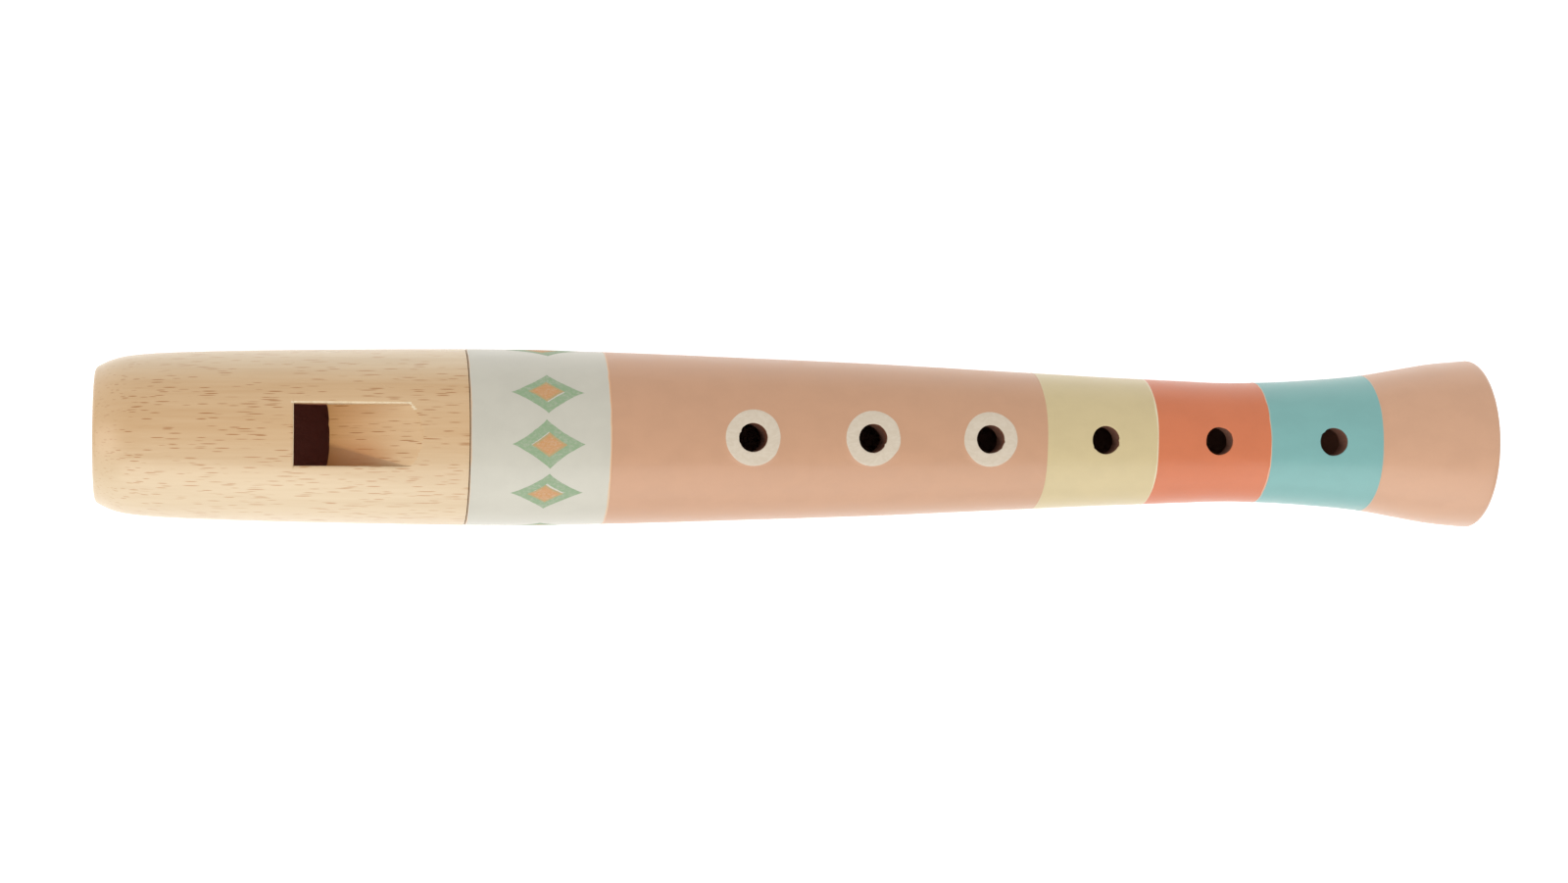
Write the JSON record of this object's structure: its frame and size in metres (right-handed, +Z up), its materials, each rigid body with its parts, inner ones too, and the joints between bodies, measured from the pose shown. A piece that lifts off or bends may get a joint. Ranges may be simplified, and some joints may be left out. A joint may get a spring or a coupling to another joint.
{
  "type": "soprano recorder",
  "caption": "Child's wooden soprano recorder: plain beech head joint with windway block, painted one-piece body with finger holes and flared bell, on a cork-lapped tenon.",
  "frame": {"origin": "on the table, under the middle of the recorder's length, with the recorder lying on its back and its finger holes up", "axes": "+X along the bore from the mouth end to the bell, +Y across it, +Z up through the window and the finger holes"},
  "size_m": [0.21, 0.026, 0.026],
  "materials": {
    "beech": "clear satin lacquer on turned beech, short brown flecks along the grain",
    "block_beech": "bare sanded beech",
    "paint": "satin paint in bands on turned beech: off-white, rose, pale yellow, orange, pale blue, rose",
    "cork": "matt natural cork"
  },
  "bodies": {
    "body": {"body_joint": "paint"},
    "lapping": {"tenon_cork": "cork"},
    "head": {"head_joint": "beech", "windway_block": "block_beech"}
  },
  "joints": [
    {"name": "head_turn", "type": "hinge", "parent": "body", "child": "lapping", "pos_m": [-0.0568, 0, 0.013], "axis": [1, 0, 0], "continuous": true},
    {"name": "head_pull", "type": "slide", "parent": "lapping", "child": "head", "axis": [-1, 0, 0], "range_m": [0, 0.02]}
  ]
}
